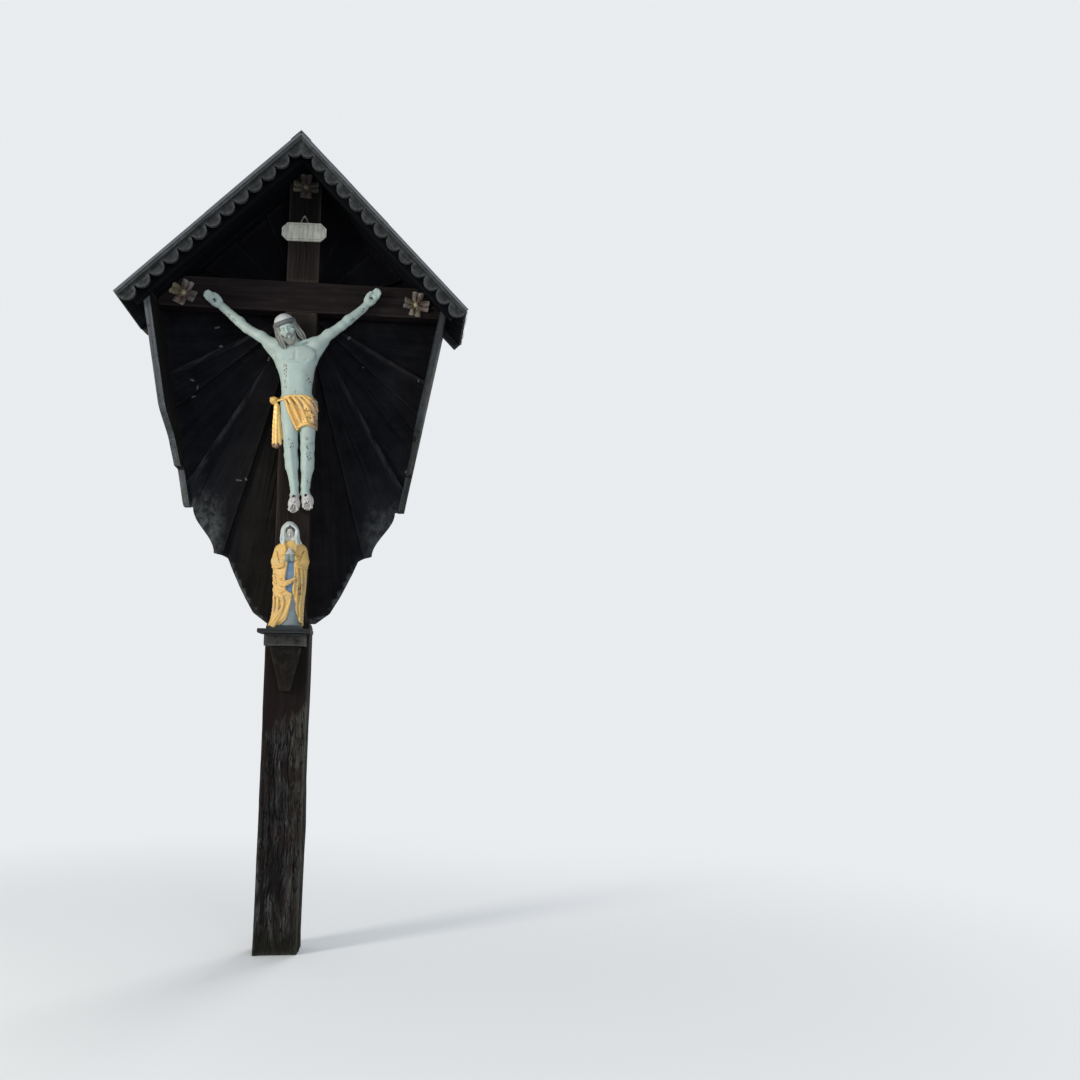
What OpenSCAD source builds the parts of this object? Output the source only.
// Wayside shrine: a roofed wooden cross on one post, with a fan of back boards,
// leaning side boards, a carved figure and a small statue on a bracket.
// The origin is the middle of the post's foot. The front faces -Y, and Z is up.

/* [Post] */
// Width of the post below its shoulders
post_w = 210; // [190:1:260]
// Depth of the post from front to back
post_d = 180; // [160:1:240]
// Height at which the post starts to narrow
shoulder_z = 1520; // [1400:1:1530]
// Height that the narrowing takes
shoulder_rise = 65; // [30:1:100]
// Width of the upright above the shoulders
upright_w = 160; // [130:1:180]
// Depth of the upright, from the front of the post to the back boards
upright_d = 130; // [110:1:150]
// Height over the shoulders' foot of the ledge behind the upright that the back boards stand on
ledge_rise = 21; // [11:1:60]

/* [Crossbeam] */
// Height of the crossbeam from its underside to its top
beam_h = 157; // [120:1:180]
// Depth of the crossbeam, let into the front of the upright
beam_d = 80; // [50:1:90]

/* [Back boards] */
// Thickness of each back board
back_t = 20; // [14:1:26]
// Height over the crossbeam's underside of the point that the back boards fan out from
fan_rise = 53; // [20:1:90]
// Distance from that point at which the boards' narrow ends are cut off
fan_cut = 60; // [40:1:78]
// Angle below level of the first joint
joint_1 = 29; // [24:0.5:34]
// Angle below level of the second joint
joint_2 = 42; // [38:0.5:48]
// Angle below level of the third joint
joint_3 = 60; // [55:0.5:65]
// Angle below level of the fourth joint
joint_4 = 75; // [71:0.5:79]
// Angle above level of the first joint over the crossbeam
gable_joint_1 = 20; // [16:0.5:26]
// Angle above level of the second joint over the crossbeam
gable_joint_2 = 44; // [38:0.5:50]
// Angle above level of the third joint over the crossbeam
gable_joint_3 = 67; // [60:0.5:74]
// Angle by which a rear board reaches under the front board beside it
lap = 1.5; // [0.5:0.1:3]
// Distance from the middle to the sharp corner at the foot of the fan
corner_x = 385; // [360:1:400]
// Drop of that corner below the crossbeam's underside
corner_drop = 1216; // [1180:1:1240]
// Distance from the middle to the rounded corner inside it
toe_x = 318; // [300:1:335]
// Drop of the rounded corner below the sharp one
toe_drop = 23; // [10:1:50]
// How far outside the post the fan's lowest point lies
tip_out = 13; // [3:1:25]
// How far outside that point the blunt corner over it lies
heel_out = 69; // [45:1:85]
// Height of the blunt corner over the ledge
heel_rise = 53; // [35:1:75]
// Outward bow of the edge from the rounded corner down to the blunt one
tip_bow = 6; // [0:1:15]
// Drop of the batten on the boards' back, below the crossbeam's underside
batten_drop = 887; // [700:1:1000]
// Width of the batten
batten_h = 90; // [60:1:120]
// Thickness of the batten
batten_t = 26; // [18:1:40]
// Half of the batten's length
batten_half_l = 400; // [300:1:420]

/* [Side boards] */
// Room from the figure's fingertips to the outer face of a side board, at the crossbeam's underside
hand_room = 251; // [228:1:290]
// Thickness of a side board
side_t = 34; // [24:1:40]
// Lean of a side board, outward at the top, in degrees
side_lean = 10.7; // [9:0.1:12]
// Depth of a side board where it is widest
side_d = 340; // [280:1:360]
// Drop below the crossbeam's underside to where its front edge starts to curve back
waist_drop = 537; // [460:1:600]
// Height that the curve takes
waist_h = 175; // [120:1:200]
// Depth of the board where the curve ends
hip_d = 185; // [160:1:210]
// Height from the end of the curve down to the step near the board's foot
hip_h = 95; // [55:1:130]
// Depth of the board just over the step
step_d = 145; // [110:1:155]
// Depth of the tongue below the step
tongue_d = 55; // [45:1:80]
// Length of the tongue
tongue_l = 182; // [140:1:230]
// Length of the split along the right board's front edge
split_l = 165; // [100:1:220]
// Thickness that the split has taken
split_t = 17; // [8:1:22]
// Depth of the split behind the front edge
split_d = 55; // [30:1:80]

/* [Roof] */
// Height over the crossbeam's underside at which the side boards meet the roof
case_rise = 30; // [10:1:60]
// How far the eaves reach past the side boards, at the crossbeam's underside
eave_out = 94; // [60:1:130]
// Pitch of the roof in degrees
roof_pitch = 46; // [44:0.5:48]
// How far the roof reaches in front of the side boards
roof_front = 137; // [100:1:180]
// How far the roof reaches behind the back boards
roof_back = 44; // [36:1:90]
// Thickness of the metal sheet
sheet_t = 3; // [1:0.5:4]
// Thickness of the roof boards
roof_board_t = 24; // [18:1:30]
// How far the ridge cap covers each slope
cap_w = 70; // [40:1:110]
// Thickness of the ridge cap
cap_t = 2; // [1:0.5:4]
// Thickness of the front rafters, along the roof
rafter_t = 40; // [30:1:50]
// Height of the front rafters, square to the slope
rafter_h = 45; // [35:1:60]
// Distance from the eave to the end of a rafter
rafter_end = 45; // [20:1:60]

/* [Verge] */
// Thickness of the scalloped verge board
verge_t = 20; // [14:1:24]
// Height from the roof's top to the flats between the scallops
cusp_h = 38; // [34:1:46]
// Distance from one scallop to the next
lobe_pitch = 88; // [70:1:100]
// Width of the flat between two scallops
lobe_gap = 4; // [2:1:12]
// Drop of a scallop below that flat
lobe_drop = 38; // [24:1:42]
// Thickness of the strip over the verge board
strip_t = 14; // [8:1:20]
// Height of the strip, square to the slope
strip_h = 28; // [20:1:34]
// Height of the plain verge board at the back
rear_verge_h = 60; // [40:1:80]

/* [Title plate and rosettes] */
// Width of the title plate
plate_w = 222; // [180:1:240]
// Height of the title plate
plate_h = 96; // [80:1:120]
// Thickness of the title plate
plate_t = 12; // [6:1:20]
// Size of the plate's cut corners
plate_cut = 28; // [15:1:40]
// Drop of the plate's middle below the ridge
plate_drop = 375; // [325:1:430]
// Width of the wire loop over the plate
loop_w = 46; // [30:1:70]
// Height of the wire loop
loop_h = 38; // [28:1:50]
// Thickness of the loop's wire
wire_t = 4; // [2:0.5:6]
// Radius of the peg that the loop hangs on
peg_r = 5; // [3:0.5:8]
// Width of a rosette across its petals
rosette_w = 136; // [110:1:140]
// Thickness of a rosette's petals
rosette_t = 12; // [8:1:18]
// Drop of the top rosette's middle below the ridge
rosette_top_drop = 132; // [126:1:165]
// Distance from a side board's inner face to a side rosette's middle
rosette_in = 120; // [119:1:160]
// Drop of a side rosette below the middle of the crossbeam
rosette_drop = 11; // [6:1:20]

/* [Crucified figure] */
// Height of the carved figure, from the head to the toes
figure_h = 1000; // [900:5:1100]
// Gap between the statue's top and the figure's toes
feet_gap = 44; // [20:1:90]
// Height of the hands' nails over the crossbeam's underside
hand_rise = 35; // [20:1:50]
// Depth of a hand between the crossbeam and its nail's head
hand_depth = 34; // [28:1:38]
// Depth of a foot between the upright and its nail's head
foot_depth = 72; // [68:1:76]
// Radius of a nail's shank
nail_r = 4; // [3:0.5:5]
// Radius of a nail's head
nail_head_r = 8; // [6:0.5:10]

/* [Statue] */
// Height of the statue over its plinth
statue_h = 500; // [440:5:560]
// Width of the plinth
plinth_w = 150; // [130:1:170]
// Depth of the plinth
plinth_d = 130; // [115:1:150]
// Thickness of the plinth
plinth_t = 16; // [8:1:24]

/* [Console] */
// Drop of the shelf's top below the foot of the post's shoulders
shelf_drop = 18; // [5:1:40]
// Width of the shelf
shelf_w = 244; // [220:1:270]
// How far the shelf reaches in front of the post
shelf_d = 190; // [170:1:220]
// Thickness of the shelf
shelf_t = 22; // [14:1:30]
// Width of the block under the shelf
block_w = 188; // [160:1:205]
// How far the block reaches in front of the post
block_d = 150; // [120:1:165]
// Height of the block
block_h = 58; // [40:1:75]
// Width of the corbel at its top
corbel_w = 146; // [120:1:155]
// Width of the corbel at its tip
corbel_tip_w = 54; // [36:1:80]
// How far the corbel's top reaches in front of the post
corbel_d = 120; // [90:1:118]
// Depth of the corbel at its tip
corbel_tip_d = 34; // [20:1:50]
// Height of the corbel
corbel_h = 212; // [160:1:260]

/* [Hidden] */
$fn = 48;

// Planes along Y, from the front of the roof to its back
front_y = -post_d / 2;
back_y = front_y + upright_d;
case_back_y = back_y + back_t;
case_front_y = case_back_y - side_d;
roof_front_y = case_front_y - roof_front;
roof_back_y = case_back_y + roof_back;
verge_y = roof_front_y + strip_t;
deck_y = verge_y + verge_t;
statue_y = front_y - shelf_d / 2;

// The figure's joints, as it is 1 m tall: X, the way out from the upright, and Z from the hands
shoulder_left = [-117, -66, -212];
elbow_left = [-262, -48, -132];
wrist_left = [-384, -24, -40];
fingers_left = [-462, -20, 22];
hand_left = [-414, 0, -25];
shoulder_right = [92, -66, -200];
elbow_right = [222, -48, -100];
wrist_right = [325, -24, -2];
fingers_right = [388, -20, 78];
hand_right = [352, 0, 25];
neck = [-22, -66, -235];
head = [-58, -96, -155];
hip_left = [-32, -60, -490];
hip_right = [34, -60, -490];
thigh_left = [-30, -62, -620];
thigh_right = [44, -62, -620];
knee_left = [-10, -66, -760];
knee_right = [62, -66, -758];
shin_left = [6, -50, -860];
shin_right = [66, -50, -850];
ankle_left = [10, -44, -960];
ankle_right = [66, -44, -950];
toes_left = [12, -68, -1048];
toes_right = [76, -68, -1030];
foot_left = [9, 0, -985];
foot_right = [68, 0, -975];
knot = [-96, -60, -520];
tail = [-102, -56, -600];
tail_end = [-84, -50, -735];
// The way up through the head, which leans to one side and nods
head_up = [-0.38, -0.25, 0.89];
// Half of the head's height, which is a seventh of the figure's
head_half = 1000 / 7 / 2;
// Roundness of the skull in its cap, and of the head's lower end
skull_r = 56;
head_foot_r = 42;
head_top = head + head_up * (head_half - skull_r);
head_foot = head - head_up * (head_half - head_foot_r);
// Roundness of the toes and of the fingertips
toe_r = 22;
finger_r = 15;
// Heights of the loincloth's upper and lower edges from the hands
cloth_top = -478;
cloth_foot = -640;
// Gap round the nails in the figure
nail_gap = 0.4;

// Heights, from the shelf up to the crossbeam, and from there down and up
shelf_z = shoulder_z - shelf_drop;
ledge_z = shoulder_z + ledge_rise;
toes_z = shelf_z + plinth_t + statue_h + feet_gap;
hands_z = toes_z + (toe_r - toes_left[2]) * figure_h / 1000;
beam_z = hands_z - hand_rise;
beam_top = beam_z + beam_h;
fan_z = beam_z + fan_rise;
waist_z = beam_z - waist_drop;
hip_z = waist_z - waist_h;
step_z = hip_z - hip_h;
side_foot_z = step_z - tongue_l;
batten_z = beam_z - batten_drop;
corner_z = beam_z - corner_drop;
toe_z = corner_z - toe_drop;
tip_x = post_w / 2 + tip_out;
case_top_z = beam_z + case_rise;

// Half of the case's outer width at the crossbeam's underside
side_half_w = (finger_r - fingers_left[0]) * figure_h / 1000 + hand_room;
// Distance from the middle to a side board's outer and inner face at height z
function outer_x(z) = side_half_w + (z - beam_z) * tan(side_lean);
function inner_x(z) = outer_x(z) - side_t / cos(side_lean);

// The roof, whose boards rest on the side boards' inner edges
deck_p = sheet_t + roof_board_t;
ridge_z = case_top_z + inner_x(case_top_z) * tan(roof_pitch) + deck_p / cos(roof_pitch);
roof_half_w = side_half_w + eave_out;
slope_l = roof_half_w / cos(roof_pitch);
eave_z = ridge_z - roof_half_w * tan(roof_pitch);
plate_z = ridge_z - plate_drop;
rosette_z = ridge_z - rosette_top_drop;
rosette_side_z = beam_z + beam_h / 2 - rosette_drop;
rosette_x = inner_x(beam_z) - rosette_in;
// A size larger than the whole shrine, for cutting shapes
far = ridge_z + 2 * roof_half_w;
// How far a cut reaches past the face that it opens
past = 1;
// Half of the gap where two pieces meet on the middle line behind the upright
mid_gap = 1;

// Height of the roof boards' underside at x from the middle
function under_roof_z(x) = ridge_z - deck_p / cos(roof_pitch) - abs(x) * tan(roof_pitch);
// Distance from the middle at which the roof boards' underside is at height z
function under_roof_x(z) = (under_roof_z(0) - z) / tan(roof_pitch);
// A curve from a to b that leaves and arrives along the second axis
function ease(a, b, n = 12) = [for (i = [0 : n])
  let (t = i / n) [a[0] + (b[0] - a[0]) * (1 - cos(180 * t)) / 2, a[1] + (b[1] - a[1]) * t]];
// A shape that is alike on both sides of the middle, from the points of its right half
// and the points that lie on the middle line
function both(pts, mid = []) = concat(pts, mid,
  [for (i = [len(pts) - 1 : -1 : 0]) [-pts[i][0], pts[i][1]]]);
// A line from a to b that bows out by rise to its left
function bow(a, b, rise, n = 12) = let (d = b - a, side = [-d[1], d[0]] / norm(d))
  [for (i = [0 : n]) let (t = i / n) a + d * t + side * rise * 4 * t * (1 - t)];

// Draws a flat shape of X and Z as a board that is t thick, with its front at y
module upright_plane(y, t) {
  translate([0, y + t, 0]) rotate([90, 0, 0]) linear_extrude(t) children();
}

module side_of(right) {
  if (right) children();
  else mirror([1, 0, 0]) children();
}

// The right half of what lies under the roof boards
module under_roof() {
  polygon([[0, 0], [far, 0], [far, under_roof_z(far)], [0, under_roof_z(0)]]);
}

// A band along the right slope, from p0 to p1 below the roof's top and s0 above the eave
module slope_band(p0, p1, s0 = 0) {
  intersection() {
    translate([roof_half_w, eave_z]) mirror([1, 0]) rotate(roof_pitch)
      translate([s0, -p1]) square([slope_l + far - s0, p1 - p0]);
    square([far, far]);
  }
}

module post() {
  color("#6b645a") difference() {
    upright_plane(front_y, post_d) polygon(both([
      [post_w / 2, 0], [post_w / 2, shoulder_z], [upright_w / 2, shoulder_z + shoulder_rise],
      [upright_w / 2, under_roof_z(upright_w / 2)]], [[0, under_roof_z(0)]]));
    translate([-far / 2, back_y, ledge_z]) cube([far, far, far]);
    translate([-far / 2, front_y - far, beam_z]) cube([far, far + beam_d, beam_h]);
  }
}

module crossbeam() {
  color("#4a3a2e") upright_plane(front_y, beam_d) polygon(both([
    [inner_x(beam_z), beam_z], [inner_x(case_top_z), case_top_z],
    [under_roof_x(beam_top), beam_top]]));
}

// The right half of the back: under the roof, inside the side boards, with a shaped foot
module half_back() {
  polygon(concat(
    [[mid_gap, ledge_z], [mid_gap, under_roof_z(mid_gap)], [inner_x(case_top_z), case_top_z]],
    [[inner_x(side_foot_z), side_foot_z]],
    ease([inner_x(side_foot_z) - side_t / 3, side_foot_z], [corner_x, corner_z]),
    bow([corner_x, corner_z], [toe_x, toe_z], -(corner_x - toe_x) / 12, 4),
    bow([toe_x, toe_z], [tip_x + heel_out, ledge_z + heel_rise], tip_bow, 4), [[tip_x, ledge_z]]));
}

// A wedge of the fan between two angles above level, on the right
module wedge(a0, a1) {
  reach = far / 2;
  translate([0, fan_z]) polygon([
    fan_cut * [cos(a0), sin(a0)], reach * [cos(a0), sin(a0)],
    reach * [cos(a1), sin(a1)], fan_cut * [cos(a1), sin(a1)]]);
}

// A board of the fan: a rear one lies behind the upright, a front one stops at its side
module fan_board(right, a0, a1, front) {
  side_of(right) upright_plane(front ? back_y - back_t : back_y, back_t) intersection() {
    half_back();
    wedge(a0, a1);
    translate([front ? upright_w / 2 : 0, 0]) square([far, far]);
  }
}

module back_board_1(right) {
  color("#2f2925") fan_board(right, -joint_1 - lap, gable_joint_1 + lap, false);
}

module back_board_2(right) {
  color("#3a322c") fan_board(right, -joint_2, -joint_1, true);
}

module back_board_3(right) {
  color("#2f2925") fan_board(right, -joint_3 - lap, -joint_2 + lap, false);
}

module back_board_4(right) {
  color("#3a322c") fan_board(right, -joint_4, -joint_3, true);
}

module back_board_5(right) {
  color("#2f2925") fan_board(right, -90, -joint_4 + lap, false);
}

module gable_board_1(right) {
  color("#3a322c") fan_board(right, gable_joint_1, gable_joint_2, true);
}

module gable_board_2(right) {
  color("#2f2925") fan_board(right, gable_joint_2 - lap, gable_joint_3 + lap, false);
}

module gable_board_3(right) {
  color("#3a322c") fan_board(right, gable_joint_3, 90, true);
}

module back_batten() {
  color("#4d443b") translate([-batten_half_l, case_back_y, batten_z])
    cube([2 * batten_half_l, batten_t, batten_h]);
}

// The side board's shape seen from the side, in Y and Z
module side_profile() {
  polygon(concat(
    [[case_back_y, side_foot_z], [case_back_y, far], [case_front_y, far]],
    ease([case_front_y, waist_z], [case_back_y - hip_d, hip_z]),
    [[case_back_y - step_d, step_z], [case_back_y - tongue_d, step_z],
     [case_back_y - tongue_d, side_foot_z + side_t / 2],
     [case_back_y - tongue_d + side_t / 2, side_foot_z]]));
}

module side_board(right) {
  color("#5d564d") side_of(right) difference() {
    intersection() {
      upright_plane(case_front_y, side_d) intersection() {
        polygon([
          [inner_x(0), 0], [outer_x(0), 0],
          [outer_x(far), far], [inner_x(far), far]]);
        under_roof();
      }
      rotate([90, 0, 90]) linear_extrude(far) side_profile();
    }
    if (right) {
      split_top = step_z + split_l;
      upright_plane(case_front_y - past, side_d - step_d + split_d) polygon([
        [inner_x(step_z) - past, step_z - past], [inner_x(step_z) + split_t, step_z - past],
        [inner_x(split_top) + split_t, split_top],
        [inner_x(split_top) - past, split_top + split_t]]);
    }
  }
}

module rafter(right) {
  color("#4a4038") side_of(right) upright_plane(case_front_y - rafter_t, rafter_t)
    slope_band(deck_p, deck_p + rafter_h, rafter_end);
}

module roof_boards(right) {
  color("#473d35") side_of(right) upright_plane(deck_y, roof_back_y - verge_t - deck_y)
    slope_band(sheet_t, deck_p);
}

module roof_sheet(right) {
  color("#585c5e") side_of(right) upright_plane(roof_front_y, roof_back_y - roof_front_y)
    slope_band(0, sheet_t);
}

module ridge_cap() {
  color("#63686a") upright_plane(roof_front_y, roof_back_y - roof_front_y) for (m = [0, 1])
    mirror([m, 0]) slope_band(-cap_t, 0, slope_l - cap_w);
}

module verge_board(right) {
  lobes = floor(slope_l / lobe_pitch) - 1;
  lobe_w = lobe_pitch - lobe_gap;
  lobe_r = (lobe_w * lobe_w / 4 + lobe_drop * lobe_drop) / (2 * lobe_drop);
  color("#8a8880") side_of(right) {
    upright_plane(verge_y, verge_t) slope_band(sheet_t, cusp_h);
    for (i = [0 : lobes]) upright_plane(verge_y, verge_t) intersection() {
      slope_band(sheet_t, cusp_h + lobe_drop);
      translate([roof_half_w, eave_z]) mirror([1, 0]) rotate(roof_pitch)
        translate([(i + 0.5) * lobe_pitch, lobe_r - lobe_drop - cusp_h]) circle(lobe_r);
    }
  }
}

module verge_strip(right) {
  color("#6f7072") side_of(right) upright_plane(roof_front_y, strip_t)
    slope_band(sheet_t, strip_h);
}

module rear_verge(right) {
  color("#6d675d") side_of(right) upright_plane(roof_back_y - verge_t, verge_t)
    slope_band(sheet_t, rear_verge_h);
}

module title_plate() {
  w = plate_w / 2;
  h = plate_h / 2;
  c = plate_cut;
  leg_angle = atan2(loop_h, loop_w / 2);
  inner_w = loop_w / 2 - wire_t / sin(leg_angle);
  color("#e8e4dc") {
    upright_plane(front_y - plate_t, plate_t) translate([0, plate_z]) polygon([
      [-w + c, -h], [w - c, -h], [w, -h + c], [w, h - c],
      [w - c, h], [-w + c, h], [-w, h - c], [-w, -h + c]]);
    translate([0, 0, plate_z + h]) {
      upright_plane(front_y - (plate_t + wire_t) / 2, wire_t) difference() {
        polygon([[-loop_w / 2, -past], [loop_w / 2, -past], [loop_w / 2, 0], [0, loop_h], [-loop_w / 2, 0]]);
        polygon([[-inner_w, 0], [inner_w, 0], [0, inner_w * tan(leg_angle)]]);
      }
      translate([0, front_y, loop_h - wire_t / 2 - peg_r]) rotate([90, 0, 0]) cylinder(h = plate_t, r = peg_r);
    }
  }
}

// Four kite-shaped petals round a button, turned by a in the board's plane
module rosette(x, z, a) {
  r = rosette_w / 2;
  belly = r * 0.55;
  petal = r * 0.36;
  button_r = r * 0.2;
  color("#9a7a55") translate([x, front_y, z]) rotate([90, 0, 0]) rotate(a) {
    linear_extrude(rosette_t) {
      for (k = [0 : 3]) rotate(90 * k) polygon([[0, 0], [belly, -petal], [r, 0], [belly, petal]]);
      circle(button_r * 1.5);
    }
    translate([0, 0, rosette_t]) cylinder(h = rosette_t / 2, r = button_r);
  }
}

// A point of the figure at its real size and place
function fig(p) = p * figure_h / 1000 + [0, front_y, hands_z];

module ball(p, r) {
  translate(fig(p)) scale(r * figure_h / 1000) sphere(1, $fn = 20);
}

// A tapered limb from a to b
module limb(a, ra, b, rb) {
  hull() {
    ball(a, ra);
    ball(b, rb);
  }
}

// What lies in front of the cross, between two heights of the figure
module figure_slab(z0, z1) {
  top = fig([0, 0, z1])[2];
  foot = fig([0, 0, z0])[2];
  translate([-far / 2, front_y - far, foot]) cube([far, far, top - foot]);
}

module nail_at(p, depth, gap) {
  shank = depth * figure_h / 1000;
  translate([fig(p)[0], front_y, fig(p)[2]]) rotate([90, 0, 0]) {
    cylinder(h = shank + nail_r, r = nail_r + gap);
    translate([0, 0, shank]) cylinder(h = nail_r, r = nail_head_r + gap);
  }
}

module all_nails(gap) {
  for (p = [hand_left, hand_right]) nail_at(p, hand_depth, gap);
  for (p = [foot_left, foot_right]) nail_at(p, foot_depth, gap);
}

module corpus_torso() {
  color("#c9d2cb") difference() {
    intersection() {
      union() {
        limb(shoulder_left, 33, elbow_left, 26);
        limb(elbow_left, 26, wrist_left, 19);
        limb(wrist_left, 19, fingers_left, finger_r);
        limb(shoulder_right, 33, elbow_right, 26);
        limb(elbow_right, 26, wrist_right, 19);
        limb(wrist_right, 19, fingers_right, finger_r);
        limb(shoulder_left, 33, shoulder_right, 33);
        limb([-72, -62, -265], 56, [58, -62, -262], 56);
        limb([-50, -60, -290], 58, [-40, -58, -430], 46);
        limb([40, -60, -290], 58, [38, -58, -430], 46);
        limb([-34, -58, -440], 44, [34, -58, -520], 44);
        limb(neck, 40, head_foot, head_foot_r);
        limb(head_foot, head_foot_r, head_top, skull_r);
      }
      figure_slab(cloth_top, hand_rise * 10);
    }
    all_nails(nail_gap);
  }
}

module loincloth() {
  color("#d8a24a") {
    intersection() {
      union() {
        limb(hip_left, 55, hip_right, 56);
        limb(hip_left, 55, thigh_left, 58);
        limb(hip_right, 55, thigh_right, 60);
      }
      figure_slab(cloth_foot, cloth_top);
    }
    limb(knot, 20, tail, 13);
    limb(tail, 13, tail_end, 9);
  }
}

module corpus_legs() {
  color("#c9d2cb") difference() {
    intersection() {
      union() {
        limb(thigh_left, 50, knee_left, 37);
        limb(thigh_right, 50, knee_right, 37);
        limb(knee_left, 37, shin_left, 34);
        limb(knee_right, 37, shin_right, 34);
        limb(shin_left, 33, ankle_left, 23);
        limb(shin_right, 33, ankle_right, 23);
        limb(ankle_left, 25, toes_left, toe_r);
        limb(ankle_right, 25, toes_right, toe_r);
      }
      figure_slab(-figure_h * 2, cloth_foot);
    }
    all_nails(nail_gap);
  }
}

module nails() {
  color("#4b4a48") all_nails(0);
}

// A flat oval of the statue, centred at x and y from the middle of its plinth
module oval(x, y, z, w, d) {
  s = statue_h / 500;
  translate([x * s, y * s, z * s]) scale([w / 2 * s, d / 2 * s, 8 * s]) sphere(1, $fn = 24);
}

module statue() {
  color("#d9b36a") translate([0, statue_y, shelf_z + plinth_t]) intersection() {
    union() {
      hull() {
        oval(0, 0, 0, 148, 118);
        oval(2, 0, 90, 128, 104);
      }
      hull() {
        oval(2, 0, 90, 128, 104);
        oval(2, -4, 232, 158, 112);
      }
      hull() {
        oval(2, -4, 232, 166, 116);
        oval(2, 0, 270, 172, 112);
        oval(1, 2, 372, 128, 88);
      }
      hull() {
        oval(1, 2, 372, 128, 88);
        oval(0, 0, 402, 84, 78);
      }
      hull() {
        oval(0, 0, 395, 82, 80);
        oval(0, -4, 445, 88, 92);
        oval(0, -2, 480, 66, 70);
        oval(0, 0, 492, 34, 36);
      }
    }
    translate([-far / 2, -far / 2, 0]) cube([far, far, statue_h]);
  }
}

module statue_plinth() {
  color("#8b9398") translate([-plinth_w / 2, statue_y - plinth_d / 2, shelf_z])
    cube([plinth_w, plinth_d, plinth_t]);
}

module console_shelf() {
  color("#4e4a45") translate([-shelf_w / 2, front_y - shelf_d, shelf_z - shelf_t])
    cube([shelf_w, shelf_d, shelf_t]);
}

module console_block() {
  color("#85847e") translate([-block_w / 2, front_y - block_d, shelf_z - shelf_t - block_h])
    cube([block_w, block_d, block_h]);
}

module corbel() {
  top = shelf_z - shelf_t - block_h;
  color("#5b4c42") intersection() {
    upright_plane(front_y - corbel_d, corbel_d) polygon([
      [-corbel_w / 2, top], [-corbel_tip_w / 2, top - corbel_h],
      [corbel_tip_w / 2, top - corbel_h], [corbel_w / 2, top]]);
    rotate([90, 0, 90]) translate([0, 0, -corbel_w]) linear_extrude(2 * corbel_w) polygon(concat(
      [[front_y, top], [front_y, top - corbel_h]],
      bow([front_y - corbel_tip_d, top - corbel_h], [front_y - corbel_d, top], -corbel_d / 8)));
  }
}

post();
crossbeam();
back_board_1(false);  // back_board_left_1
back_board_2(false);  // back_board_left_2
back_board_3(false);  // back_board_left_3
back_board_4(false);  // back_board_left_4
back_board_5(false);  // back_board_left_5
back_board_1(true);  // back_board_right_1
back_board_2(true);  // back_board_right_2
back_board_3(true);  // back_board_right_3
back_board_4(true);  // back_board_right_4
back_board_5(true);  // back_board_right_5
gable_board_1(false);  // gable_board_left_1
gable_board_2(false);  // gable_board_left_2
gable_board_3(false);  // gable_board_left_3
gable_board_1(true);  // gable_board_right_1
gable_board_2(true);  // gable_board_right_2
gable_board_3(true);  // gable_board_right_3
back_batten();
side_board(false);  // side_board_left
side_board(true);  // side_board_right
rafter(false);  // rafter_left
rafter(true);  // rafter_right
roof_boards(false);  // roof_boards_left
roof_boards(true);  // roof_boards_right
roof_sheet(false);  // roof_sheet_left
roof_sheet(true);  // roof_sheet_right
ridge_cap();
verge_board(false);  // verge_board_left
verge_board(true);  // verge_board_right
verge_strip(false);  // verge_strip_left
verge_strip(true);  // verge_strip_right
rear_verge(false);  // rear_verge_left
rear_verge(true);  // rear_verge_right
title_plate();
rosette(0, rosette_z, 0);  // rosette_top
rosette(-rosette_x, rosette_side_z, -22);  // rosette_left
rosette(rosette_x, rosette_side_z, -8);  // rosette_right
corpus_torso();
loincloth();
corpus_legs();
nails();
statue();
statue_plinth();
console_shelf();
console_block();
corbel();
